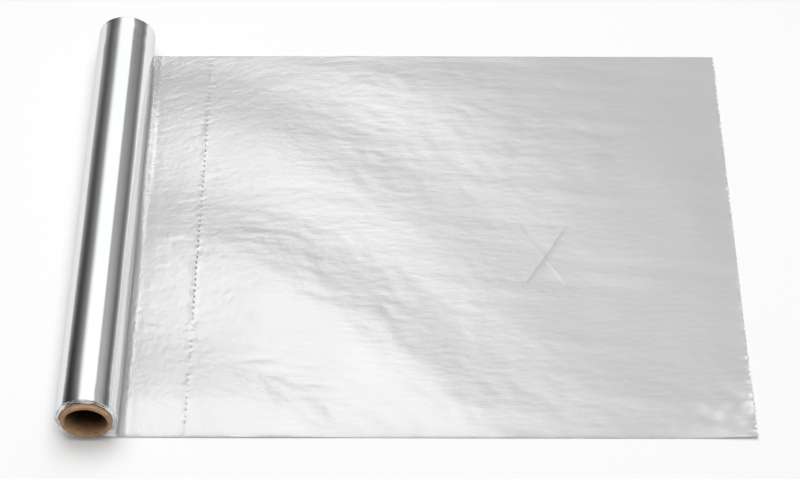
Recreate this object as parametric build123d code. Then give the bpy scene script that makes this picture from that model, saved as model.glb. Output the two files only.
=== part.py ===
from build123d import *
from math import exp, pi, sin
import os

# A roll of aluminium grill liner on its paper core, with one sheet drawn out and lying flat.
# X is the way the sheet is drawn, Y runs along the roll and Z is up.
# The origin is at the middle of the whole, on the surface that it lies on.

# Sizes in millimetres and degrees, each of them free to change
web_width = 305.0            # of the foil, across the roll
web_thickness = 0.3          # stands for rolled foil of about 0.03
sheet_length = 330.0         # from one line of perforation to the next
lead_length = 54.5           # from the roll's axis to the line that is still whole
roll_diameter = 37.0         # over the outermost turn
core_bore = 25.4
core_wall = 2.3
core_overhang = 3.0          # of the core past each edge of the foil
core_edge_break = 0.5
winding_clearance = 0.15     # between the core and the first turn
turns_shown = 6              # turns that show on each end, each for about twenty real ones
turn_relief = 0.4            # how far their edges stand out of the end
perforation_pitch = 4.2
slot_length = 1.8            # of one slot of the perforation, along its line
slot_width = 0.8
slit_length = 57.5           # of each of the two cuts that cross in the sheet
slit_width = 0.5
slit_angle = 60.0            # between each cut and the way the sheet is drawn
slit_from_tear = 117.5       # from the torn edge to where the two cuts cross
slit_off_middle = 18.0       # of that crossing from the web's middle, towards the near edge
flat_past_lead = 6.0         # of flat foil past the whole line of perforation
lift_run = 20.0              # over which the sheet then rises into its waves
main_height = 0.8            # of the main waves, from their middle to a crest
main_length = 116.5          # over the web, from one crest to the next
main_shift = 39.5            # of the crests at the roll, towards the near edge
main_skew = 0.03             # how far they run towards that edge for each length drawn
main_bend = 217.0            # radius on which they turn further towards it
cross_height = 0.3           # of the finer waves between the main ones
cross_length = 97.5
cross_shift = 29.3
cross_skew = 0.06
cross_bend = 200.0
broad_height = 0.4           # of the broad swell that carries them all
broad_length = 255.0
broad_skew = 0.92
broad_bend = 1430.0          # radius on which it turns back towards the far edge
settle_from = 95.0           # from the roll's axis to where the waves begin to die out
settle_run = 88.0            # over which they lose about two thirds of their height
edge_run = 30.0              # over which the waves sink towards each edge of the web
edge_share = 0.35            # of their height that is left at the edge

# Sizes and places that follow from them
roll_radius = roll_diameter / 2
core_radius = core_bore / 2 + core_wall
winding_bore = core_radius + winding_clearance
turn_pitch = (roll_radius - winding_bore) / turns_shown
core_length = web_width + 2 * core_overhang
roll_x = (roll_radius - lead_length - sheet_length) / 2
perforation_x = roll_x + lead_length
tear_x = perforation_x + sheet_length
swell_start = perforation_x + flat_past_lead
sheet_rise = 2 * (main_height + cross_height + broad_height) + web_thickness
slot_count = int((web_width - slot_length) / perforation_pitch) + 1


def paper_core():
    """The paper tube in the middle of the winding, with both rims eased."""
    tube = Circle(core_radius) - Circle(core_bore / 2)
    core = extrude(tube, core_length / 2, both=True)
    rims = core.edges().filter_by(GeomType.CIRCLE)
    core = chamfer(rims, min(core_edge_break, 0.3 * core_wall))
    return Pos(roll_x, 0, roll_radius) * Rot(90, 0, 0) * core


def half_turn(start, end):
    """Half a circle beside the roll's axis: on the left going up, and on the right coming down."""
    middle = (start + end) / 2
    side = roll_x + (start - end) / 2
    return ThreePointArc((roll_x, start), (side, middle), (roll_x, end))


def spiral(inset):
    """The web's way from below the axis into the roll, as half circles that run into each other."""
    arcs = []
    low = inset
    high = roll_diameter - inset
    for turn in range(turns_shown):
        arcs.append(half_turn(low, high))
        low += turn_pitch
        if turn < turns_shown - 1:
            arcs.append(half_turn(high, low))
            high -= turn_pitch
    return arcs


def winding():
    """All the turns as one solid, whose ends show the web's edge as a raised spiral."""
    left = half_turn(0, roll_diameter)
    right = half_turn(roll_diameter, turn_pitch)
    foot = Line((roll_x, turn_pitch), (roll_x, 0))
    section = make_face([left, right, foot]) - Pos(roll_x, roll_radius) * Circle(winding_bore)
    turns = extrude(Plane.XZ * section, web_width / 2 - turn_relief, both=True)

    outer = spiral(0)
    inner = spiral(web_thickness)
    first = Line(inner[0] @ 0, outer[0] @ 0)
    last = Line(outer[-1] @ 1, inner[-1] @ 1)
    edge_of_web = make_face(outer + inner + [first, last])
    for side in (-1, 1):
        end_plane = Plane(
            (0, side * (web_width / 2 - turn_relief), 0), x_dir=(1, 0, 0), z_dir=(0, -1, 0)
        )
        turns += extrude(end_plane * edge_of_web, -side * turn_relief)
    return turns


def slots(x):
    """Cutters for one line of perforation across the web."""
    cutter = Box(slot_width, slot_length, 3 * sheet_rise)
    places = GridLocations(0, perforation_pitch, 1, slot_count)
    return [Pos(x, 0, 0) * place * cutter for place in places]


def slits():
    """Cutters for the two straight cuts that cross in the sheet."""
    cutter = Box(slit_length, slit_width, 3 * sheet_rise)
    crossing = Pos(tear_x - slit_from_tear, -slit_off_middle, 0)
    return [crossing * Rot(0, 0, turn) * cutter for turn in (slit_angle, -slit_angle)]


def wave(past, y, length, shift, skew, bend):
    """One set of waves, from 0 to 2, at a point so far past the roll's axis."""
    run = y + shift + skew * past + past**2 / (2 * bend)
    return 1 + sin(2 * pi * run / length)


def swell(x, y):
    """Height of the underside of the sheet at one point, on the table or above it."""
    past = x - roll_x
    lift = 1 - exp(-(x - swell_start) / lift_run)
    settle = exp(-max(0, past - settle_from) / settle_run)
    from_edge = min(1, (web_width / 2 - abs(y)) / edge_run)
    sunk = edge_share + (1 - edge_share) * sin(pi / 2 * from_edge) ** 2
    main = main_height * wave(past, y, main_length, main_shift, main_skew, main_bend)
    cross = cross_height * wave(past, y, cross_length, cross_shift, cross_skew, cross_bend)
    broad = broad_height * wave(past, y, broad_length, 0, broad_skew, -broad_bend)
    return lift * sunk * (settle * (main + cross) + broad)


def drawn_sheet():
    """The foil off the roll: flat past the whole line of perforation, then in waves to the torn edge."""
    flat = Pos(roll_x, 0, 0) * Box(
        swell_start - roll_x, web_width, web_thickness, align=(Align.MIN, Align.CENTER, Align.MIN)
    )
    flat -= slots(perforation_x)

    rows = 31
    columns = 25
    net = []
    for row in range(rows):
        x = swell_start + (tear_x - swell_start) * row / (rows - 1)
        across = [web_width * (column / (columns - 1) - 0.5) for column in range(columns)]
        net.append([Vector(x, y, swell(x, y)) for y in across])
    underside = Face.make_surface_from_array_of_points(net, tol=0.005)
    waved = extrude(underside, web_thickness, dir=(0, 0, 1))
    waved -= slits()
    waved -= slots(tear_x)
    return flat + waved


os.makedirs("parts", exist_ok=True)
export_step(paper_core(), "parts/cardboard_core.step")
export_step(winding() + drawn_sheet(), "parts/foil.step")
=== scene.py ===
from math import cos, pi, radians, sin, tan

import bmesh
import bpy
import numpy as np
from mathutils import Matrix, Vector


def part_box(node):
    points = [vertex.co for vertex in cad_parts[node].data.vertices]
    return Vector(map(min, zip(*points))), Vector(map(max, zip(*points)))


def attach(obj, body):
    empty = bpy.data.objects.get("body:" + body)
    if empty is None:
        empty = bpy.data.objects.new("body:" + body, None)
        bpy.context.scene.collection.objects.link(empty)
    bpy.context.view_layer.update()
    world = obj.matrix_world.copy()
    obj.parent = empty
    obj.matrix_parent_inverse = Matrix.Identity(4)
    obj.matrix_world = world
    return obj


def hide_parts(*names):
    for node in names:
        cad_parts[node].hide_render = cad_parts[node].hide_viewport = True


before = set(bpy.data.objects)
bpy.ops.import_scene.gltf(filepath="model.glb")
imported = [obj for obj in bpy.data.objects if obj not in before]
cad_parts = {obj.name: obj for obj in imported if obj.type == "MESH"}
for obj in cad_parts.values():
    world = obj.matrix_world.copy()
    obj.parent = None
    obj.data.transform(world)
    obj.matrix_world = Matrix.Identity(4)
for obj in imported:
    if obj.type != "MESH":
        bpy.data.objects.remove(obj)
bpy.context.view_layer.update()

mm = 0.001


# Cardboard core
# A tube of brown kraft paperboard: glued plies wound askew on a mandrel, then cut to length with a
# knife. The foil is wound tight round it, and it stands a few millimetres past the foil at each end.
core_low, core_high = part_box("cardboard_core")
core_radius = (core_high.z - core_low.z) / 2
core_wall = 2.3 * mm
core_bore_radius = core_radius - core_wall
core_end = core_high.y
rim_easing = 0.5 * mm
knife_depth = 0.05 * mm
dent_depth = 0.22 * mm
axis_x = (core_low.x + core_high.x) / 2
axis_z = (core_low.z + core_high.z) / 2
sharp_edge = radians(40)


def noise(u, v, seed):
    """Smooth noise from -1 to 1, with about one swell for each unit of u and of v."""
    table_side = 256
    table = np.random.default_rng(seed).uniform(-1, 1, (table_side, table_side))
    column, row = np.floor(u).astype(int), np.floor(v).astype(int)
    right, up = u - column, v - row
    right, up = right * right * (3 - 2 * right), up * up * (3 - 2 * up)
    column, row = column % table_side, row % table_side
    after, above = (column + 1) % table_side, (row + 1) % table_side
    low = table[column, row] * (1 - right) + table[after, row] * right
    high = table[column, above] * (1 - right) + table[after, above] * right
    return low * (1 - up) + high * up


def closed_skin(name, rings):
    """A smooth-shaded piece whose skin runs round each ring, and from the last ring back to the first."""
    ring_count, round_count, _ = rings.shape
    here = np.arange(ring_count * round_count).reshape(ring_count, round_count)
    beside = np.roll(here, -1, 1)
    faces = np.stack([here, beside, np.roll(beside, -1, 0), np.roll(here, -1, 0)], -1)
    mesh = bpy.data.meshes.new(name)
    mesh.from_pydata(rings.reshape(-1, 3).tolist(), [], faces.reshape(-1, 4).tolist())
    mesh.validate()
    mesh.shade_smooth()
    mesh.set_sharp_from_angle(angle=sharp_edge)
    piece = bpy.data.objects.new(name, mesh)
    bpy.context.scene.collection.objects.link(piece)
    return piece


def core_profile():
    """The tube's section as radius and place along the roll, once round the wall."""
    face_width = core_wall - 2 * rim_easing
    face_steps = 7
    wall_steps = 32
    radii = []
    places = []
    for side in (-1, 1):
        # each point is a radius, and how far it lies back from the end in shares of the easing
        rim = [(core_radius, 1), (core_radius - 0.3 * rim_easing, 0.35), (core_radius - rim_easing, 0)]
        for step in range(face_steps - 1, 0, -1):
            rim.append((core_bore_radius + rim_easing + face_width * step / face_steps, 0))
        rim.append((core_bore_radius + rim_easing, 0))
        rim.append((core_bore_radius + 0.3 * rim_easing, 0.35))
        rim.append((core_bore_radius, 1))
        if side == 1:
            rim.reverse()
        radii += [radius for radius, _ in rim]
        places += [side * (core_end - rim_easing * back) for _, back in rim]
        wall_radius = core_bore_radius if side == -1 else core_radius
        between = np.linspace(-1, 1, wall_steps)[1:-1] * -side
        radii += [wall_radius] * len(between)
        places += list((core_end - rim_easing) * between)
    return np.array(radii), np.array(places)


def core_rings():
    """The tube's skin, with knife marks on both rims and a few soft dents near its ends."""
    columns = 128
    radii, places = core_profile()
    turn = np.linspace(0, 2 * pi, columns, endpoint=False)
    radius, around = np.meshgrid(radii, turn, indexing="ij")
    along = np.repeat(places[:, None], columns, 1)
    side = np.sign(along)
    knife_marks = knife_depth * noise(around * 40 / pi, radius / (0.3 * mm), 3)
    on_rim = np.clip((np.abs(along) - core_end + 1.2 * rim_easing) / rim_easing, 0, 1)
    along = along - side * on_rim * (knife_depth + knife_marks)
    near_end = np.exp(-np.maximum(core_end - np.abs(along), 0) / (5 * mm))
    dents = noise(around * 3 / pi + 2, side, 5) + 0.4 * noise(around * 8 / pi, side, 6)
    radius = radius + dent_depth * near_end * (dents - 1.1)
    return np.stack([axis_x + radius * np.cos(around), along, axis_z + radius * np.sin(around)], -1)


core_tube = closed_skin("core_tube", core_rings())


def linear(colour):
    """An sRGB hex colour as linear red, green, blue and alpha."""
    parts = [int(colour[i : i + 2], 16) / 255 for i in (1, 3, 5)]
    return [p / 12.92 if p <= 0.04045 else ((p + 0.055) / 1.055) ** 2.4 for p in parts] + [1]


def add(tree, kind, settings=None, inputs=None):
    """Adds a node with its settings, and links or sets each of its inputs."""
    node = tree.nodes.new("ShaderNode" + kind)
    for name, value in (settings or {}).items():
        setattr(node, name, value)
    for name, value in (inputs or {}).items():
        socket = node.inputs[name]
        if isinstance(value, bpy.types.NodeSocket):
            tree.links.new(value, socket)
        else:
            socket.default_value = value
    return node


def set_tones(ramp, tones):
    """Gives a colour ramp its tones, each a place from 0 to 1 and a linear colour."""
    elements = ramp.color_ramp.elements
    elements.remove(elements[-1])
    for index, (place, colour) in enumerate(tones):
        element = elements[0] if index == 0 else elements.new(place)
        element.position = place
        element.color = colour


def new_material(name):
    """An empty node material, with its tree and its output node."""
    material = bpy.data.materials.new(name)
    material.use_nodes = True
    material.node_tree.nodes.clear()
    return material, material.node_tree, add(material.node_tree, "OutputMaterial")


def round_the_axis(tree):
    """A point's place along the roll, its distance from the roll's axis and its angle round it."""
    place = add(tree, "TexCoord").outputs["Object"]
    centred = add(tree, "VectorMath", {"operation": "SUBTRACT"}, {0: place, 1: (axis_x, 0, axis_z)})
    parts = add(tree, "SeparateXYZ", None, {0: centred.outputs[0]})
    outward = add(tree, "VectorMath", {"operation": "MULTIPLY"}, {0: centred.outputs[0], 1: (1, 0, 1)})
    radius = add(tree, "VectorMath", {"operation": "LENGTH"}, {0: outward.outputs[0]})
    angle = add(tree, "Math", {"operation": "ARCTAN2"}, {0: parts.outputs["Z"], 1: parts.outputs["X"]})
    return parts.outputs["Y"], radius.outputs["Value"], angle.outputs[0]


def wound_kraft_board():
    """Kraft paperboard, wound and left bare: a dry mottled brown with fibres, fine lines between the plies
    on the cut rims, and a dark seam that runs askew round the wall where one ply's edge meets the next. The
    bore is painted with shade: darker further in, and lighter towards both mouths."""
    ply_width = 55 * mm
    ply_thickness = 0.38 * mm
    seam_share = 0.012
    fibre_size = 0.5 * mm
    mottle_size = 5 * mm
    bore_shade_run = 14 * mm
    material, tree, output = new_material("wound_kraft_board")
    along, radius, angle = round_the_axis(tree)
    place = add(tree, "TexCoord").outputs["Object"]

    round_share = add(tree, "Math", {"operation": "DIVIDE"}, {0: angle, 1: 2 * pi})
    run = add(tree, "Math", {"operation": "DIVIDE"}, {0: along, 1: ply_width})
    helix = add(tree, "Math", {"operation": "ADD"}, {0: run.outputs[0], 1: round_share.outputs[0]})
    past_seam = add(tree, "Math", {"operation": "FRACT"}, {0: helix.outputs[0]})
    seam = add(
        tree, "MapRange", {"interpolation_type": "SMOOTHSTEP"},
        {"Value": past_seam.outputs[0], "From Min": 0, "From Max": seam_share, "To Min": 0.55, "To Max": 1},
    )
    plies = add(tree, "Math", {"operation": "DIVIDE"}, {0: radius, 1: ply_thickness})
    into_ply = add(tree, "Math", {"operation": "PINGPONG"}, {0: plies.outputs[0], 1: 0.5})
    ply_lines = add(
        tree, "MapRange", None,
        {"Value": into_ply.outputs[0], "From Min": 0, "From Max": 0.16, "To Min": 0.86, "To Max": 1},
    )

    mottle = add(tree, "TexNoise", None, {"Vector": place, "Scale": 1 / mottle_size, "Detail": 2})
    mottled = add(
        tree, "MapRange", None,
        {"Value": mottle.outputs["Fac"], "From Min": 0.35, "From Max": 0.65, "To Min": 0.84, "To Max": 1.12},
    )
    # painted shade in the bore: darker further in from each mouth, and lighter at the mouths themselves
    off_bore = add(
        tree, "MapRange", None,
        {"Value": radius, "From Min": core_bore_radius + 0.1 * mm, "From Max": core_bore_radius + 0.2 * mm},
    )
    from_middle = add(tree, "Math", {"operation": "ABSOLUTE"}, {0: along})
    bore_shade_by_depth = add(
        tree, "MapRange", {"interpolation_type": "SMOOTHSTEP"},
        {
            "Value": from_middle.outputs[0], "From Min": core_end - bore_shade_run, "From Max": core_end,
            "To Min": 0.15, "To Max": 1.15,
        },
    )
    painted_bore_shade = add(
        tree, "MapRange", None, {"Value": off_bore.outputs[0], "To Min": bore_shade_by_depth.outputs[0], "To Max": 1}
    )
    shade = seam
    for layer in (ply_lines, mottled, painted_bore_shade):
        shade = add(tree, "Math", {"operation": "MULTIPLY"}, {0: shade.outputs[0], 1: layer.outputs[0]})

    # the fibres are drawn at 0.5 mm, coarser than real ones, so that they show
    fibres = add(
        tree, "TexNoise", None, {"Vector": place, "Scale": 1 / fibre_size, "Detail": 5, "Roughness": 0.7}
    )
    board = add(tree, "ValToRGB", None, {"Fac": fibres.outputs["Fac"]})
    set_tones(board, [(0.3, linear("#93694A")), (0.72, linear("#DDB892"))])
    colour = add(
        tree, "VectorMath", {"operation": "SCALE"}, {0: board.outputs["Color"], "Scale": shade.outputs[0]}
    )
    height = add(tree, "Math", {"operation": "ADD"}, {0: fibres.outputs["Fac"], 1: shade.outputs[0]})
    bump = add(tree, "Bump", None, {"Height": height.outputs[0], "Strength": 0.35, "Distance": 0.12 * mm})
    surface = add(
        tree, "BsdfPrincipled", None,
        {"Base Color": colour.outputs[0], "Roughness": 0.82, "IOR": 1.47, "Normal": bump.outputs[0]},
    )
    tree.links.new(surface.outputs[0], output.inputs["Surface"])
    return material


core_tube.data.materials.append(wound_kraft_board())
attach(core_tube, "root")
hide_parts("cardboard_core")


# Wound foil
# The turns of the aluminium web on the core, bright side out. The web is wound under tension, so the
# outside is a smooth tight cylinder, and each end shows the cut edges of the turns as fine rings.
foil_low, foil_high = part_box("foil")
roll_radius = (foil_high.z - foil_low.z) / 2
web_half = foil_high.y
winding_half = web_half - 0.1 * mm
winding_bore = core_radius + 0.06 * mm
spiral_step = 0.56 * mm
# the rings on the ends are drawn 0.24 mm apart, where real turns lie 0.03 mm apart, so that they show
ring_pitch = 0.24 * mm
foot_turn = radians(1.2)
winding_columns = 300
winding_turn = np.linspace(0, 2 * pi - foot_turn, winding_columns)


def outline_radius():
    """The winding's outer radius, by the turn in radians from below the axis over the left."""
    half_step = spiral_step / 2
    from_top = winding_turn - pi
    right = half_step * np.cos(from_top)
    right += np.sqrt((roll_radius - half_step) ** 2 - (half_step * np.sin(from_top)) ** 2)
    return np.where(winding_turn <= pi, roll_radius, right)


def winding_outside():
    """The tight outside as places along the roll and radii, with dents near the ends from handling."""
    end_share = 0.08
    end_count = 8
    middle_count = 170
    end_lines = end_share * (1 - np.cos(np.linspace(0, pi / 2, end_count + 1)))[:-1]
    middle_lines = np.linspace(end_share - 1, 1 - end_share, middle_count)
    lines = winding_half * np.concatenate([end_lines - 1, middle_lines, 1 - end_lines[::-1]])
    along, arc = np.meshgrid(lines, winding_turn * roll_radius, indexing="ij")
    slack = 0.045 * mm * noise(along / (38 * mm) + 7, arc / (21 * mm), 11)
    slack += 0.014 * mm * noise(along / (13 * mm), arc / (9 * mm), 12)
    handling = 0.2 * mm * np.exp(-(winding_half - np.abs(along)) / (11 * mm))
    slack += handling * (noise(along / (5 * mm), arc / (7 * mm), 13) - 0.4)
    mean_slack = 0.08 * mm
    return along, np.minimum(outline_radius() + slack - mean_slack, roll_radius)


def end_face(side, outermost):
    """The turns' edges on one end as places and radii, from the outermost turn in to the core."""
    ring_depth = 0.13 * mm
    unevenness = 0.16 * mm
    hub_stand = 0.35 * mm
    line_count = 42
    inward = np.linspace(0, 1, line_count)[:, None]
    radius = outermost * (1 - inward) + winding_bore * inward
    count = (roll_radius - radius) / ring_pitch - winding_turn / (2 * pi)
    rings = np.abs(np.sin(pi * count)) - 1
    wander = noise(count / 2.2, winding_turn * 1.3, 20 + side) * np.minimum(1, 12 * inward)
    out = ring_depth * rings + unevenness * wander + hub_stand * inward
    return side * (winding_half + out), radius


def winding_rings():
    """The roll's skin: along the outside, in over the far end, back along the core and out again."""
    outside_y, outside_radius = winding_outside()
    near_y, near_radius = end_face(-1, outside_radius[0])
    far_y, far_radius = end_face(1, outside_radius[-1])
    bore_count = 10
    bore_lines = np.linspace(1, -1, bore_count + 2)[1:-1, None] * (winding_half - 1 * mm)
    bore_y = np.repeat(bore_lines, winding_columns, 1)
    bore_radius = np.full(bore_y.shape, winding_bore)
    along = np.concatenate([outside_y, far_y[1:], bore_y, near_y[:0:-1]])
    radius = np.concatenate([outside_radius, far_radius[1:], bore_radius, near_radius[:0:-1]])
    x = axis_x - radius * np.sin(winding_turn)
    z = axis_z - radius * np.cos(winding_turn)
    return np.stack([x, along, z], -1)[:, ::-1]


wound_foil = closed_skin("wound_foil", winding_rings())


def bright_rolled_foil():
    """Household aluminium foil on the side that met the polished work roll: a near mirror, drawn out along
    the web in fine rolling lines, so that reflections stay crisp and only fray a little at their edges. On
    the roll's ends the shade in the gaps between the turns is painted in, as rings of a darker grey."""
    end_depth = 0.15 * mm
    foil_colour = linear("#F1F2F2")
    material, tree, output = new_material("bright_rolled_foil")
    along, radius, angle = round_the_axis(tree)

    arc = add(tree, "Math", {"operation": "MULTIPLY"}, {0: angle, 1: roll_radius})
    unrolled = add(tree, "CombineXYZ", None, {"X": arc.outputs[0], "Y": along})
    # rolling lines lie a hundredth of a millimetre apart; here one in 0.7 mm, so that they show
    line_scale = (1 / (16 * mm), 1 / (0.7 * mm), 1)
    drawn_out = add(tree, "VectorMath", {"operation": "MULTIPLY"}, {0: unrolled.outputs[0], 1: line_scale})
    lines = add(
        tree, "TexNoise", None,
        {"Vector": drawn_out.outputs[0], "Scale": 1, "Detail": 4, "Roughness": 0.6},
    )
    bump = add(
        tree, "Bump", None, {"Height": lines.outputs["Fac"], "Strength": 0.5, "Distance": 0.012 * mm}
    )
    haze = add(
        tree, "TexNoise", None, {"Vector": unrolled.outputs[0], "Scale": 1 / (12 * mm), "Detail": 4}
    )
    roughness = add(
        tree, "MapRange", None,
        {"Value": haze.outputs["Fac"], "From Min": 0.3, "From Max": 0.7, "To Min": 0.07, "To Max": 0.13},
    )

    # painted shade of the gaps between the turns: darker grey rings drawn 0.7 mm wide,
    # where real turns lie 0.03 mm apart, so that they show
    gap_shade_scale = (1 / (0.7 * mm), 1.6, 1)
    ring_place = add(tree, "CombineXYZ", None, {"X": radius, "Y": angle})
    scaled = add(tree, "VectorMath", {"operation": "MULTIPLY"}, {0: ring_place.outputs[0], 1: gap_shade_scale})
    gap_shade_noise = add(
        tree, "TexNoise", None, {"Vector": scaled.outputs[0], "Scale": 1, "Detail": 3, "Roughness": 0.6}
    )
    painted_gap_shade = add(tree, "ValToRGB", None, {"Fac": gap_shade_noise.outputs["Fac"]})
    set_tones(painted_gap_shade, [(0.38, linear("#C4CAD0")), (0.58, foil_colour)])
    from_middle = add(tree, "Math", {"operation": "ABSOLUTE"}, {0: along})
    at_end = add(
        tree, "MapRange", None,
        {
            "Value": from_middle.outputs[0], "From Min": winding_half - 2 * end_depth,
            "From Max": winding_half - end_depth,
        },
    )
    colour = add(
        tree, "Mix", {"data_type": "RGBA"},
        {"Factor": at_end.outputs[0], 6: foil_colour, 7: painted_gap_shade.outputs["Color"]},
    )
    surface = add(
        tree, "BsdfPrincipled", None,
        {
            "Base Color": colour.outputs[2], "Metallic": 1, "Specular Tint": linear("#E0E2E4"),
            "Roughness": roughness.outputs[0], "Normal": bump.outputs[0],
        },
    )
    tree.links.new(surface.outputs[0], output.inputs["Surface"])
    return material


bright_foil = bright_rolled_foil()
wound_foil.data.materials.append(bright_foil)
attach(wound_foil, "root")
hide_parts("foil")


# Drawn sheet
# The web where it leaves the winding from below and lies on the table, satin side up, to the edge
# where the last sheet was torn off. One line of perforation is still whole, and two knife cuts cross.
sheet_length = 330 * mm
tear_x = foil_high.x
perforation_x = tear_x - sheet_length
# the foil is drawn ten times as thick as real foil, as it is in the solids
foil_thickness = 0.3 * mm

# the line of perforation, and the torn one that was like it
perforation_pitch = 4.2 * mm
slot_length = 1.5 * mm
slot_width = 0.7 * mm
torn_depth = 0.1 * mm
crimp_width = 3.2 * mm

# the two cuts: the first runs towards the near edge on its way from the roll
slit_length = 57.5 * mm
slit_widths = (0.1 * mm, 0.12 * mm)
slit_gapes = (0.02 * mm, 0.05 * mm)
slit_angle = radians(60)
slit_crossing = Vector((tear_x - 117.5 * mm, -18 * mm, 0))

# the waves, which begin under the roll and sink at the web's edges
lift_run = 12 * mm
main_height = 0.8 * mm
main_length = 116.5 * mm
main_shift = 39.5 * mm
main_bend = 217 * mm
cross_height = 0.3 * mm
cross_length = 97.5 * mm
cross_shift = 29.3 * mm
cross_bend = 200 * mm
broad_height = 0.4 * mm
broad_length = 255 * mm
broad_bend = 1430 * mm
settle_from = 95 * mm
settle_run = 88 * mm
edge_run = 30 * mm

# the bulge where the web comes out from under the roll, and the folds that fan out from there
bulge_height = 0.75 * mm
bulge_top = 13 * mm
bulge_end = 21.8 * mm
fan_run = 90 * mm
fan_share = 0.3
fan_middle = -25 * mm


def grid_lines(start, end, spacing, marks):
    """Places from start to end, about spacing apart, that include every mark."""
    stops = sorted({start, end, *[m for m in marks if start < m < end]})
    lines = [start]
    for low, high in zip(stops, stops[1:]):
        steps = max(1, round((high - low) / spacing))
        lines += [low + (high - low) * step / steps for step in range(1, steps + 1)]
    return np.array(lines)


def slot_openings(places):
    """How long each slot is: the punch bit right through on two stretches of its line, less between."""
    bite = np.exp(-(((places - 62 * mm) / (38 * mm)) ** 2))
    bite += np.exp(-(((places + 34 * mm) / (36 * mm)) ** 2))
    opened = 0.2 + 0.75 * bite + 0.35 * noise(places / (4 * mm), places * 0, 46)
    return slot_length * np.where(opened < 0.2, 0.1, np.clip(opened, 0.3, 1))


slots_a_side = int((web_half - slot_length / 2) / perforation_pitch)
slot_places = np.arange(-slots_a_side, slots_a_side + 1) * perforation_pitch
slot_lengths = slot_openings(slot_places)
x_marks = [perforation_x + side * width / 2 for side in (-1, 1) for width in (slot_width, crimp_width)]
x_marks += [tear_x - back for back in (torn_depth, 0.9 * mm, 1.9 * mm, crimp_width)]
x_marks += list(np.linspace(axis_x + bulge_top, axis_x + bulge_end, 12))
y_marks = [y + side * length / 2 for y, length in zip(slot_places, slot_lengths) for side in (-1, 1)]
x_spacing = 2.7 * mm
y_spacing = 1.1 * mm
x_lines = grid_lines(axis_x, tear_x, x_spacing, x_marks)
y_lines = grid_lines(-web_half, web_half, y_spacing, y_marks)


def in_slot(x, y):
    """Whether a cell's middle lies in a slot of either line of perforation."""
    nearest = np.abs(y[:, None] - slot_places[None, :]).argmin(1)
    beside_slot = np.abs(y - slot_places[nearest]) < slot_lengths[nearest] / 2
    return beside_slot & ((np.abs(x - perforation_x) < slot_width / 2) | (x > tear_x - torn_depth))


def beside_cut(x, y, side):
    """How far a point lies along one of the two cuts from where they cross, and how far beside it."""
    run_x, run_y = cos(slit_angle), side * sin(slit_angle)
    from_x, from_y = x - slit_crossing.x, y - slit_crossing.y
    return from_x * run_x + from_y * run_y, from_y * run_x - from_x * run_y


def strip_faces(plan, side, length, width):
    """The plan's faces whose middles lie in a strip of this length and width over one cut."""
    found = []
    for face in plan.faces:
        middle = face.calc_center_median()
        along, aside = beside_cut(middle.x, middle.y, side)
        if abs(along) < length / 2 and abs(aside) < width / 2:
            found.append(face)
    return found


def cut_plan():
    """The sheet's flat plan as a mesh, with its slots, its torn edge and its two crossing cuts."""
    plan = bmesh.new()
    grid = [[plan.verts.new((x, y, 0)) for y in y_lines] for x in x_lines]
    cell_x, cell_y = (x_lines[1:] + x_lines[:-1]) / 2, (y_lines[1:] + y_lines[:-1]) / 2
    for i, x in enumerate(cell_x):
        for j in np.flatnonzero(~in_slot(x, cell_y)):
            plan.faces.new((grid[i][j], grid[i + 1][j], grid[i + 1][j + 1], grid[i][j + 1]))

    strip_length = slit_length + 6 * mm
    finer_width = 4 * mm
    cut_width = 6 * mm
    beside = [face for side in (-1, 1) for face in strip_faces(plan, side, strip_length, finer_width)]
    edges = dict.fromkeys(edge for face in beside for edge in face.edges)
    bmesh.ops.subdivide_edges(plan, edges=list(edges), cuts=2, use_grid_fill=True)
    for side, width in zip((-1, 1), slit_widths):
        run = Vector((cos(slit_angle), side * sin(slit_angle), 0))
        across = Vector((-run.y, run.x, 0))
        for way, reach in ((across, width), (across, -width), (run, slit_length), (run, -slit_length)):
            near = strip_faces(plan, side, strip_length, cut_width)
            edges = dict.fromkeys(edge for face in near for edge in face.edges)
            corners = dict.fromkeys(corner for face in near for corner in face.verts)
            bmesh.ops.bisect_plane(
                plan, geom=[*near, *edges, *corners], dist=1e-7,
                plane_co=slit_crossing + way * reach / 2, plane_no=way,
            )
        bmesh.ops.delete(plan, geom=strip_faces(plan, side, slit_length, width), context="FACES")
    loose = [corner for corner in plan.verts if not corner.link_faces]
    bmesh.ops.delete(plan, geom=loose, context="VERTS")
    mesh = bpy.data.meshes.new("drawn_sheet")
    plan.to_mesh(mesh)
    plan.free()
    return mesh


def ease(value):
    """0 below 0, 1 above 1 and smooth between."""
    value = np.clip(value, 0, 1)
    return value * value * (3 - 2 * value)


def wave(past, y, length, shift, skew, bend):
    """One set of waves, from 0 to 2. Their crests drift towards the near edge, and turn on a radius."""
    return 1 + np.sin(2 * pi * (y + shift + skew * past + past**2 / (2 * bend)) / length)


def swell(x, y):
    """The sheet's low waves, which begin under the roll and sink towards the torn edge."""
    past = np.maximum(x - axis_x, 0)
    lift = 1 - np.exp(-past / lift_run)
    settle = np.exp(-np.maximum(past - settle_from, 0) / settle_run)
    sunk = 0.35 + 0.65 * ease((web_half - np.abs(y)) / edge_run)
    main = main_height * wave(past, y, main_length, main_shift, 0.03, main_bend)
    cross = cross_height * wave(past, y, cross_length, cross_shift, 0.06, cross_bend)
    broad = broad_height * wave(past, y, broad_length, 0, 0.92, -broad_bend)
    at_tear = 0.25 + 0.75 * ease((tear_x - x) / (25 * mm))
    return lift * sunk * (settle * (main + cross) + broad) * at_tear


def bulge(x, y):
    """The bulge at the roll's foot, higher on the far side, with fine ripples where it comes down."""
    past = x - axis_x
    top = bulge_height * (0.2 + 0.8 * ease((y + 60 * mm) / (120 * mm)))
    down = np.clip((past - bulge_top) / (bulge_end - bulge_top), 0, 1)
    on_slope = ease((past - 14 * mm) / (3 * mm)) * ease((bulge_end + 1 * mm - past) / (3 * mm))
    ripples = 0.07 * mm * noise(past / (2.6 * mm), y / (90 * mm), 38)
    return top * ease(past / bulge_top) * (1 - down**1.6) + ripples * on_slope


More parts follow.
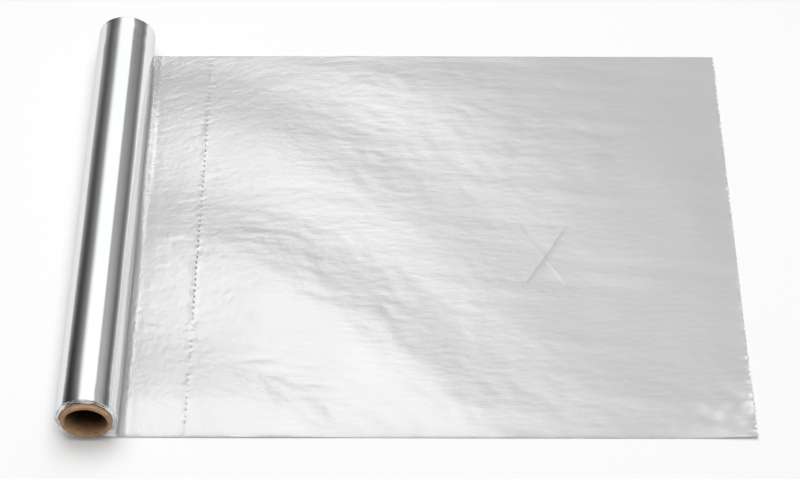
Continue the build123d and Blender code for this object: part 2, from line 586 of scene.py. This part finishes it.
def folds(x, y):
    """Sharp little folds that fan out from the roll, and soft ripples along the web that grow away from
    it. The folds are strongest where the web was bent most, near the roll."""
    past = x - axis_x
    patches = 0.55 + 0.45 * noise(x / (85 * mm) + 3, y / (60 * mm), 31)
    fan = -fan_share * np.clip(past / fan_run, 0, 1) * (y - fan_middle)
    bend = fan + 4 * mm * noise(x / (26 * mm), y / (30 * mm), 32)
    creases = 0.13 * mm * np.abs(noise(x / (20 * mm), (y + bend) / (5.5 * mm), 33))
    creases += 0.08 * mm * np.abs(noise(x / (7 * mm) + 5, (y + bend) / (2.8 * mm), 34))
    creases += 0.17 * mm * np.abs(noise((x + 0.5 * y) / (12 * mm), (y + bend + 0.2 * x) / (8 * mm), 35))
    strength = patches * (1.3 - 0.6 * ease((x + 90 * mm) / (150 * mm)))
    ripples = 0.1 * mm * noise(x / (60 * mm), (y + 0.12 * x) / (9 * mm), 48)
    off_bulge = ease((past - bulge_end) / (4 * mm))
    return strength * creases * off_bulge + ripples * ease((past - 60 * mm) / (80 * mm))


def near_corner(x, y):
    """The torn edge's near corner, which curls up and is crumpled from being held."""
    held = np.exp(-(((tear_x - x) / (30 * mm)) ** 2 + ((y + web_half) / (48 * mm)) ** 2))
    crumple = np.abs(noise((x + y) / (26 * mm), (y - x) / (8 * mm), 36))
    crumple += 0.5 * np.abs(noise((x + y) / (9 * mm), (y - x) / (6 * mm), 39))
    return mm * held * (1.3 * held + 0.5 * crumple)


def perforated_line(x, y):
    """The ridge that the punch left along the whole line of perforation, highest beside each slot."""
    ridge = np.exp(-(((x - perforation_x) / (1.2 * mm)) ** 2))
    even = 0.08 * mm * (1 + 0.8 * np.cos(2 * pi * y / perforation_pitch))
    return ridge * (even + 0.2 * mm * noise(x / (2 * mm), y / (2.2 * mm), 37))


def torn_edge(x, y):
    """Small flaps of foil along the tear, and a curl behind them, both stronger near the held corner."""
    from_tear, from_near = tear_x - x, y + web_half
    flaps = noise(x * 0, y / (1.7 * mm), 42) - 0.1 + 0.5 * np.exp(-((from_near / (70 * mm)) ** 2))
    curl = 0.5 + 0.5 * noise(x * 0, (y + 0.8 * x) / (13 * mm), 43)
    curl *= np.exp(-((from_near / (75 * mm)) ** 2))
    height = 0.4 * mm * np.clip(flaps, 0, 1) * np.exp(-from_tear / (2.2 * mm))
    return height + 0.45 * mm * curl * np.exp(-from_tear / (9 * mm))


def web_edges(x, y):
    """The web's two long edges: the near one is a little turned up, and the far one is rounded over."""
    from_near, from_far = y + web_half, web_half - y
    turned_up = 0.5 + 0.5 * noise(x / (16 * mm), y * 0, 47)
    rounded = 0.5 + 0.5 * noise(x / (18 * mm), y * 0, 49)
    height = 0.25 * mm * turned_up * np.exp(-from_near / (0.8 * mm))
    over = (1 - np.exp(-from_far / (0.8 * mm))) * np.exp(-from_far / (8 * mm))
    return height + 0.2 * mm * rounded * over


def looseness(along):
    """How loose the foil is beside a cut: 1 at the middle of the cut, and 0 at its ends and past them."""
    return np.clip(1 - (2 * along / slit_length) ** 2, 0, 1)


def cut_lips(x, y):
    """The lip on one side of each cut, which stands up. The first cut's is low, and lowest at its start."""
    height = 0
    for side in (-1, 1):
        along, aside = beside_cut(x, y, side)
        lip = 0.32 * mm * looseness(along) * np.exp(-np.abs(aside) / (1.1 * mm)) * (aside < 0)
        if side == -1:
            lip *= 0.04 + 0.36 * ease(along / (14 * mm))
        height += lip
    return height


def lay_sheet(mesh):
    """Moves the plan's points to where they lie, with the cuts a little open and the torn edge ragged."""
    points = np.empty(len(mesh.vertices) * 3)
    mesh.vertices.foreach_get("co", points)
    points = points.reshape(-1, 3)
    x, y = points[:, 0].copy(), points[:, 1].copy()
    for side, gape in zip((-1, 1), slit_gapes):
        along, aside = beside_cut(x, y, side)
        apart = np.sign(aside) * gape * looseness(along) * np.exp(-np.abs(aside) / (4 * mm))
        points[:, 0] -= apart * side * sin(slit_angle)
        points[:, 1] += apart * cos(slit_angle)
    torn_off = 0.3 * mm * (1 + noise(x * 0, y / (1.3 * mm), 41))
    torn_off += 0.25 * mm * (1 + noise(x * 0, y / (9 * mm), 44))
    points[:, 0] = np.where(x > tear_x - torn_depth / 2, x - torn_off, points[:, 0])
    points[:, 2] = foil_thickness
    for form in (swell, bulge, folds, near_corner, perforated_line, torn_edge, web_edges, cut_lips):
        points[:, 2] += form(x, y)
    mesh.vertices.foreach_set("co", points.ravel())
    mesh.update()
    mesh.shade_smooth()


sheet_mesh = cut_plan()
lay_sheet(sheet_mesh)
drawn_sheet = bpy.data.objects.new("drawn_sheet", sheet_mesh)
bpy.context.scene.collection.objects.link(drawn_sheet)
walls = drawn_sheet.modifiers.new("foil_thickness", "SOLIDIFY")
walls.thickness = foil_thickness
walls.offset = -1
walls.material_offset = 1


def satin_rolled_foil():
    """The same foil on the side that lay against a second web in the last pass: satin, with a grain of
    fine lines along the web that spreads every reflection into a soft grey. Fine folds fan out over it,
    broken up by pebbles near the roll, and it is smoother where it comes out from under the roll."""
    material, tree, output = new_material("satin_rolled_foil")
    place = add(tree, "TexCoord").outputs["Object"]
    parts = add(tree, "SeparateXYZ", None, {0: place})
    past = parts.outputs["X"]

    # the grain is drawn at 0.55 mm across the web, coarser than real rolling grain, so that it shows
    grain_scale = (1 / (7 * mm), 1 / (0.55 * mm), 1)
    drawn_out = add(tree, "VectorMath", {"operation": "MULTIPLY"}, {0: place, 1: grain_scale})
    grain = add(
        tree, "TexNoise", None,
        {"Vector": drawn_out.outputs[0], "Scale": 1, "Detail": 5, "Roughness": 0.65},
    )
    fine = add(
        tree, "Bump", None, {"Height": grain.outputs["Fac"], "Strength": 0.5, "Distance": 0.055 * mm}
    )

    # the folds are 2.6 mm apart at the roll, and 3.7 mm where they have fanned out
    fold_scale = (1 / (13 * mm), 1 / (2.6 * mm), 1)
    narrowed = add(
        tree, "MapRange", None,
        {
            "Value": past, "From Min": axis_x, "From Max": axis_x + fan_run,
            "To Min": 1, "To Max": 1 - fan_share,
        },
    )
    off_middle = add(tree, "Math", {"operation": "SUBTRACT"}, {0: parts.outputs["Y"], 1: fan_middle})
    fanned = add(tree, "Math", {"operation": "MULTIPLY"}, {0: off_middle.outputs[0], 1: narrowed.outputs[0]})
    fan_place = add(tree, "CombineXYZ", None, {"X": past, "Y": fanned.outputs[0]})
    scaled = add(tree, "VectorMath", {"operation": "MULTIPLY"}, {0: fan_place.outputs[0], 1: fold_scale})
    fine_folds = add(
        tree, "TexNoise", None, {"Vector": scaled.outputs[0], "Scale": 1, "Detail": 4, "Roughness": 0.58}
    )
    pebbles = add(
        tree, "TexNoise", None, {"Vector": place, "Scale": 1 / (3.4 * mm), "Detail": 3, "Roughness": 0.55}
    )
    pebbled = add(
        tree, "MapRange", {"interpolation_type": "SMOOTHSTEP"},
        {
            "Value": past, "From Min": axis_x + 60 * mm, "From Max": axis_x + 170 * mm,
            "To Min": 0.6, "To Max": 0.2,
        },
    )
    relief = add(
        tree, "Mix", None,
        {"Factor": pebbled.outputs[0], "A": fine_folds.outputs["Fac"], "B": pebbles.outputs["Fac"]},
    )
    relief_strength = add(
        tree, "MapRange", None,
        {
            "Value": past, "From Min": axis_x + 120 * mm, "From Max": axis_x + 300 * mm,
            "To Min": 0.75, "To Max": 0.42,
        },
    )
    bump = add(
        tree, "Bump", None,
        {
            "Height": relief.outputs[0], "Strength": relief_strength.outputs[0], "Distance": 0.36 * mm,
            "Normal": fine.outputs[0],
        },
    )

    haze = add(tree, "TexNoise", None, {"Vector": place, "Scale": 1 / (45 * mm), "Detail": 3})
    satin = add(
        tree, "MapRange", None,
        {"Value": haze.outputs["Fac"], "From Min": 0.3, "From Max": 0.7, "To Min": 0.19, "To Max": 0.24},
    )
    off_foot = add(
        tree, "MapRange", {"interpolation_type": "SMOOTHSTEP"},
        {
            "Value": past, "From Min": axis_x + bulge_end, "From Max": axis_x + bulge_end + 2 * mm,
            "To Min": 0.2, "To Max": 1,
        },
    )
    roughness = add(tree, "Math", {"operation": "MULTIPLY"}, {0: satin.outputs[0], 1: off_foot.outputs[0]})
    # less than fully metallic, for the part of the light that the satin scatters evenly
    surface = add(
        tree, "BsdfPrincipled", None,
        {
            "Base Color": linear("#E8E8E9"), "Metallic": 0.72, "Roughness": roughness.outputs[0],
            "Normal": bump.outputs[0],
        },
    )
    tree.links.new(surface.outputs[0], output.inputs["Surface"])
    return material


drawn_sheet.data.materials.append(satin_rolled_foil())
drawn_sheet.data.materials.append(bright_foil)
depsgraph = bpy.context.evaluated_depsgraph_get()
drawn_sheet.data = bpy.data.meshes.new_from_object(drawn_sheet.evaluated_get(depsgraph))
drawn_sheet.modifiers.clear()
drawn_sheet.data.set_sharp_from_angle(angle=sharp_edge)
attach(drawn_sheet, "root")
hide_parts("foil")


# Table
# A plain white matt table top that the roll and its sheet lie on, wide enough to fill every view. It
# lies a hair lower than the foil, and glows faintly to the eye so that it is white round the object.
table_half = 6
table_corners = [(x * table_half, y * table_half) for x, y in ((-1, -1), (1, -1), (1, 1), (-1, 1))]


def flat_panel(name, corners):
    """A level four-sided face between the given corners."""
    mesh = bpy.data.meshes.new(name)
    mesh.from_pydata([(x, y, 0) for x, y in corners], [], [(0, 1, 2, 3)])
    panel = bpy.data.objects.new(name, mesh)
    bpy.context.scene.collection.objects.link(panel)
    return panel


def matt_white_laminate():
    """White laminate pressed against a rough plate, which scatters all light evenly and has no gloss."""
    material, tree, output = new_material("matt_white_laminate")
    board = add(tree, "BsdfDiffuse", None, {"Color": linear("#F4F4F4")})
    glow = add(tree, "Emission", None, {"Color": linear("#FFFFFF"), "Strength": 1})
    is_seen = add(tree, "LightPath").outputs["Is Camera Ray"]
    glow_share = add(tree, "Math", {"operation": "MULTIPLY"}, {0: is_seen, 1: 0.1})
    top = add(
        tree, "MixShader", None, {"Fac": glow_share.outputs[0], 1: board.outputs[0], 2: glow.outputs[0]}
    )
    tree.links.new(top.outputs[0], output.inputs["Surface"])
    return material


table = flat_panel("table", table_corners)
table.location.z = -0.02 * mm
table.data.materials.append(matt_white_laminate())


# Light
# Two soft lamps overhead light the table and the board. Glowing panels overhead and on the right are
# what the foil mirrors, and the room is dark low down on both sides, which draws the bands on the roll.
def area_lamp(name, place, size, power):
    """A soft lamp that points at the middle of the table and shows in no reflection."""
    lamp = bpy.data.lights.new(name, "AREA")
    lamp.shape = "RECTANGLE"
    lamp.size, lamp.size_y = size
    lamp.energy = power
    lamp_object = bpy.data.objects.new(name, lamp)
    lamp_object.location = place
    lamp_object.rotation_euler = (-Vector(place)).to_track_quat("-Z", "Y").to_euler()
    lamp_object.visible_glossy = False
    lamp_object.visible_camera = False
    bpy.context.scene.collection.objects.link(lamp_object)


area_lamp("overhead_lamp", (-0.14, 0.35, 1.9), (1.7, 1.5), 29.7)
area_lamp("front_lamp", (0.15, -0.6, 1.9), (0.8, 0.8), 8.8)


def soft_box(name, corners, height, brightness, edges, lit):
    """A glowing panel, added to what lies behind it, that only the given pieces mirror. Each soft edge has
    a way over the panel, where it begins and ends on that way, and the share of the glow at each."""
    (left, front), (right, back) = corners
    box = flat_panel(name, [(left, front), (left, back), (right, back), (right, front)])
    box.location.z = height
    box.visible_camera = False
    box.visible_diffuse = False
    box.visible_shadow = False
    pieces = bpy.data.collections.new(name + "_pieces")
    for piece in lit:
        pieces.objects.link(piece)
    box.light_linking.receiver_collection = pieces

    material, tree, output = new_material(name + "_diffuser")
    place = add(tree, "TexCoord").outputs["Object"]
    for way, start, end, low, high in edges:
        reach = add(tree, "VectorMath", {"operation": "DOT_PRODUCT"}, {0: place, 1: way})
        share = add(
            tree, "MapRange", {"interpolation_type": "SMOOTHSTEP"},
            {
                "Value": reach.outputs["Value"], "From Min": start, "From Max": end,
                "To Min": low, "To Max": high,
            },
        )
        dimmed = add(tree, "Math", {"operation": "MULTIPLY"}, {0: brightness, 1: share.outputs[0]})
        brightness = dimmed.outputs[0]
    glow = add(tree, "Emission", None, {"Color": linear("#FFFFFF"), "Strength": brightness})
    clear = add(tree, "BsdfTransparent")
    both = add(tree, "AddShader", None, {0: glow.outputs[0], 1: clear.outputs[0]})
    tree.links.new(both.outputs[0], output.inputs["Surface"])
    box.data.materials.append(material)
    return box


roll_box_height = 2.0


def over_roll(lean):
    """Where the roll's panel meets a line from the roll's axis that leans by so many degrees."""
    return axis_x + roll_box_height * tan(radians(lean))


# the roll's panel, soft at its left and its right edge
soft_box(
    "roll_soft_box", ((-2.2, -8), (1.6, 4.5)), roll_box_height, 0.72,
    [
        ((1, 0, 0), over_roll(-35), over_roll(-14.5), 0, 1),
        ((1, 0, 0), over_roll(27), over_roll(33), 1, 0),
    ],
    [wound_foil],
)
# the sheet's panel, soft at its right edge and its left back corner, and dimmer overhead than behind
soft_box(
    "sheet_soft_box", ((-6, -12), (2.2, 16)), 6.0, 0.95,
    [
        ((1, 0.2, 0), 0.6, 1.68, 1, 0),
        ((-3.26, 1, 0), 6.9, 9.4, 1, 0),
        ((0, 1, 0), 3.6, 5.2, 0.8, 1),
        ((0, 1, 0), 0.5, 3.2, 0.42, 1),
    ],
    [drawn_sheet],
)
# a panel that stands on its edge to the right, for the slopes that face it
side_box = soft_box("side_soft_box", ((-1.4, -4), (1.4, 6)), 1.7, 0.7, [], [drawn_sheet])
side_box.location.x = 2.6
side_box.rotation_euler.y = pi / 2

# each row is a lean from straight up, in degrees to the right, then the room's grey in that direction,
# first overhead and at the front, and then at the back
room_greys = (
    (-90, 0.42, 0.45),
    (-80, 0.12, 0.28),
    (-71, 0.035, 0.16),
    (-62, 0.045, 0.1),
    (-54, 0.08, 0.13),
    (-44, 0.16, 0.2),
    (-36, 0.27, 0.3),
    (-28, 0.36, 0.37),
    (-20, 0.42, 0.395),
    (26, 0.42, 0.395),
    (33, 0.46, 0.38),
    (43, 0.5, 0.31),
    (52, 0.42, 0.27),
    (62, 0.3, 0.25),
    (71, 0.15, 0.2),
    (77, 0.12, 0.2),
    (83, 0.22, 0.3),
    (89, 0.42, 0.48),
)


def grey_room():
    """The room round the table. Its greys go by how far a direction leans to the left or the right, change
    towards the back, and sink to a tenth at the front."""
    world = bpy.data.worlds.new("studio")
    world.use_nodes = True
    tree = world.node_tree
    tree.nodes.clear()
    direction = add(tree, "SeparateXYZ", None, {0: add(tree, "TexCoord").outputs["Generated"]})
    upward = add(tree, "Math", {"operation": "MAXIMUM"}, {0: direction.outputs["Z"], 1: 0.001})
    lean = add(tree, "Math", {"operation": "ARCTAN2"}, {0: direction.outputs["X"], 1: upward.outputs[0]})
    share = add(tree, "MapRange", None, {"Value": lean.outputs[0], "From Min": -pi / 2, "From Max": pi / 2})
    greys = []
    for column in (1, 2):
        ramp = add(tree, "ValToRGB", None, {"Fac": share.outputs[0]})
        set_tones(ramp, [(row[0] / 180 + 0.5, [row[column]] * 3 + [1]) for row in room_greys])
        greys.append(ramp.outputs["Color"])
    backward = add(
        tree, "MapRange", None, {"Value": direction.outputs["Y"], "From Min": 0.58, "From Max": 0.7}
    )
    tone = add(tree, "Mix", {"data_type": "RGBA"}, {"Factor": backward.outputs[0], 6: greys[0], 7: greys[1]})
    off_front = add(
        tree, "MapRange", None,
        {"Value": direction.outputs["Y"], "From Min": -0.7, "From Max": 0.1, "To Min": 0.1, "To Max": 1},
    )
    room = add(tree, "Background", None, {"Color": tone.outputs[2], "Strength": off_front.outputs[0]})
    add(tree, "OutputWorld", None, {"Surface": room.outputs[0]})
    return world


bpy.context.scene.world = grey_room()


# Camera
# Where the photograph was taken from: in front of the middle, looking steeply down at the whole.
camera_tilt = radians(50.29)
camera_turn = radians(0.14)
camera_aside = -2.4 * mm
camera_from_edge = 760.1 * mm
camera_height = 1094 * mm
camera_data = bpy.data.cameras.new("camera")
camera_data.sensor_width = 36
camera_data.lens = 103.78
camera = bpy.data.objects.new("camera", camera_data)
camera.location = (camera_aside, -web_half - camera_from_edge, camera_height)
camera.rotation_euler = (pi / 2 - camera_tilt, 0, camera_turn)
bpy.context.scene.collection.objects.link(camera)
bpy.context.scene.camera = camera
bpy.context.scene.view_settings.view_transform = "Standard"
